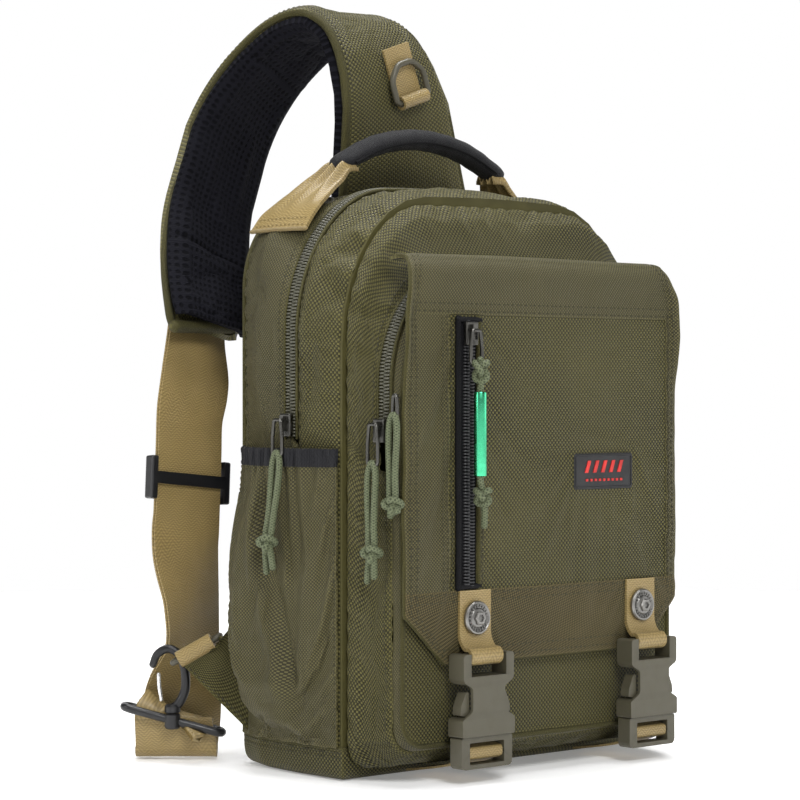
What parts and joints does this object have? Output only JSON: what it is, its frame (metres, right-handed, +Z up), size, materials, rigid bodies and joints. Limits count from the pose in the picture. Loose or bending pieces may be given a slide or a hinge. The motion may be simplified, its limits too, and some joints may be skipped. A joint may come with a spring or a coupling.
{
  "type": "tactical sling bag",
  "caption": "Upright fabric sling bag with a buckled front flap, zipped compartments, side pockets, carry handle and a wide padded cross-body strap clipped at its lower corner.",
  "frame": {"origin": "on the floor under the middle of the bag's base", "axes": "+Z up, the flap faces -Y, +X is to the right seen from the flap's side"},
  "size_m": [0.306, 0.26, 0.4553],
  "materials": {
    "olive_fabric": "two-tone ballistic weave, matt",
    "tan_webbing": "ribbed nylon webbing with a soft sheen",
    "black_mesh": "padded spacer mesh, black with a navy cast",
    "black_plastic": "fine-grained moulded plastic",
    "grey_plastic": "satin moulded plastic, grey-olive",
    "olive_coil": "nylon coil zip chain in olive",
    "black_zip": "black coil zip tape",
    "gunmetal": "dark plated metal, soft shine",
    "sage_cord": "braided cord, sage",
    "green_anodised": "bright green anodised tube",
    "black_rubber": "matt moulded rubber with a raised emblem"
  },
  "bodies": {
    "bag": {"back_panel": "olive_fabric", "rear_gusset": "olive_fabric", "front_gusset": "olive_fabric", "divider_wall": "olive_fabric", "bottom_tray": "olive_fabric", "front_compartment_gusset": "olive_fabric", "flap_pocket_gusset": "olive_fabric", "front_panel": "olive_fabric", "pocket_left": "olive_fabric", "pocket_right": "olive_fabric", "strap_pad": "olive_fabric", "wing_left": "olive_fabric", "wing_right": "olive_fabric", "strap_left": "tan_webbing", "strap_right": "tan_webbing", "anchor_left": "tan_webbing", "anchor_right": "tan_webbing", "strap_tab": "tan_webbing", "shoulder_webbing": "tan_webbing", "back_pad": "black_mesh", "handle_grip": "black_mesh", "strap_mesh": "black_mesh", "swivel_loop": "black_plastic", "male_left": "grey_plastic", "male_right": "grey_plastic", "dring_left": "grey_plastic", "main_zip": "olive_coil", "front_zip": "olive_coil"},
    "flap_body": {"flap": "olive_fabric", "flap_zip": "black_zip", "patch": "black_rubber", "tab_left": "tan_webbing", "tab_right": "tan_webbing", "snap_left": "gunmetal", "snap_right": "gunmetal", "female_left": "grey_plastic", "female_right": "grey_plastic"},
    "adjuster": {"tri_glide": "black_plastic"},
    "hook": {"snap_hook": "black_plastic"},
    "gate": {"wire_gate": "gunmetal"},
    "strap_ring": {"strap_dring": "grey_plastic"},
    "right_ring": {"dring_right": "grey_plastic"},
    "main_slider_body": {"main_slider": "gunmetal"},
    "main_pull_body": {"main_pull": "gunmetal", "main_cord": "sage_cord"},
    "front_slider_body": {"front_slider": "gunmetal"},
    "front_pull_body": {"front_pull": "gunmetal", "front_cord": "sage_cord"},
    "flap_slider_body": {"flap_slider": "gunmetal"},
    "flap_pull_body": {"flap_pull": "gunmetal", "flap_cord_upper": "sage_cord", "bead": "green_anodised", "flap_cord_lower": "sage_cord"},
    "pocket_pull_body": {"pocket_pull": "gunmetal", "pocket_cord": "sage_cord"},
    "arm_left_outer_body": {"arm_left_outer": "grey_plastic"},
    "arm_left_inner_body": {"arm_left_inner": "grey_plastic"},
    "arm_right_outer_body": {"arm_right_outer": "grey_plastic"},
    "arm_right_inner_body": {"arm_right_inner": "grey_plastic"}
  },
  "joints": [
    {"name": "flap_lift", "type": "hinge", "parent": "bag", "child": "flap_body", "pos_m": [0, -0.053, 0.2921], "axis": [-1, 0, 0], "range_deg": [0, 110]},
    {"name": "main_slider_run", "type": "slide", "parent": "bag", "child": "main_slider_body", "axis": [0, 0, 1], "range_m": [0, 0.045]},
    {"name": "main_pull_swing", "type": "hinge", "parent": "main_slider_body", "child": "main_pull_body", "pos_m": [-0.1278, 0.0133, 0.202], "axis": [0, 1, 0], "range_deg": [0, 90]},
    {"name": "front_slider_run", "type": "slide", "parent": "bag", "child": "front_slider_body", "axis": [0, 0, 1], "range_m": [0, 0.013]},
    {"name": "front_pull_swing", "type": "hinge", "parent": "front_slider_body", "child": "front_pull_body", "pos_m": [-0.1186, -0.0581, 0.2], "axis": [0, 1, 0], "range_deg": [0, 90]},
    {"name": "flap_slider_run", "type": "slide", "parent": "flap_body", "child": "flap_slider_body", "axis": [0, 0, -1], "range_m": [0, 0.06]},
    {"name": "flap_pull_swing", "type": "hinge", "parent": "flap_slider_body", "child": "flap_pull_body", "pos_m": [-0.065, -0.0844, 0.252], "axis": [-1, 0, 0], "range_deg": [0, 90]},
    {"name": "pocket_pull_swing", "type": "hinge", "parent": "bag", "child": "pocket_pull_body", "pos_m": [-0.1128, -0.07, 0.216], "axis": [0, 1, 0], "range_deg": [0, 60]},
    {"name": "adjuster_slide", "type": "slide", "parent": "bag", "child": "adjuster", "axis": [0.0992, 0.0744, 0.9923], "range_m": [-0.02, 0.02]},
    {"name": "hook_swivel", "type": "hinge", "parent": "bag", "child": "hook", "pos_m": [-0.13789, 0.09848, 0.03], "axis": [0, 0, 1], "range_deg": [-12, 2]},
    {"name": "gate_press", "type": "hinge", "parent": "hook", "child": "gate", "pos_m": [-0.14279, 0.1029, 0.0362], "axis": [0.6691, 0.7431, 0], "range_deg": [0, 22], "stiffness_Nm_per_rad": 0.02},
    {"name": "strap_ring_lift", "type": "hinge", "parent": "bag", "child": "strap_ring", "pos_m": [0.015, 0.0555, 0.398], "axis": [0.943, 0, 0.3328], "range_deg": [0, 150]},
    {"name": "right_ring_swing", "type": "hinge", "parent": "bag", "child": "right_ring", "pos_m": [0.13444, 0.08058, 0.06662], "axis": [0.646, 0.5817, -0.4942], "range_deg": [-8, 40]},
    {"name": "arm_left_outer_squeeze", "type": "hinge", "parent": "bag", "child": "arm_left_outer_body", "pos_m": [-0.071, -0.0823, 0.0285], "axis": [0, 1, 0], "range_deg": [0, 8], "stiffness_Nm_per_rad": 0.12},
    {"name": "arm_left_inner_squeeze", "type": "hinge", "parent": "bag", "child": "arm_left_inner_body", "pos_m": [-0.047, -0.0823, 0.0285], "axis": [0, -1, 0], "range_deg": [0, 8], "stiffness_Nm_per_rad": 0.12},
    {"name": "arm_right_outer_squeeze", "type": "hinge", "parent": "bag", "child": "arm_right_outer_body", "pos_m": [0.0645, -0.0823, 0.0285], "axis": [0, 1, 0], "range_deg": [0, 8], "stiffness_Nm_per_rad": 0.12},
    {"name": "arm_right_inner_squeeze", "type": "hinge", "parent": "bag", "child": "arm_right_inner_body", "pos_m": [0.0885, -0.0823, 0.0285], "axis": [0, -1, 0], "range_deg": [0, 8], "stiffness_Nm_per_rad": 0.12}
  ]
}
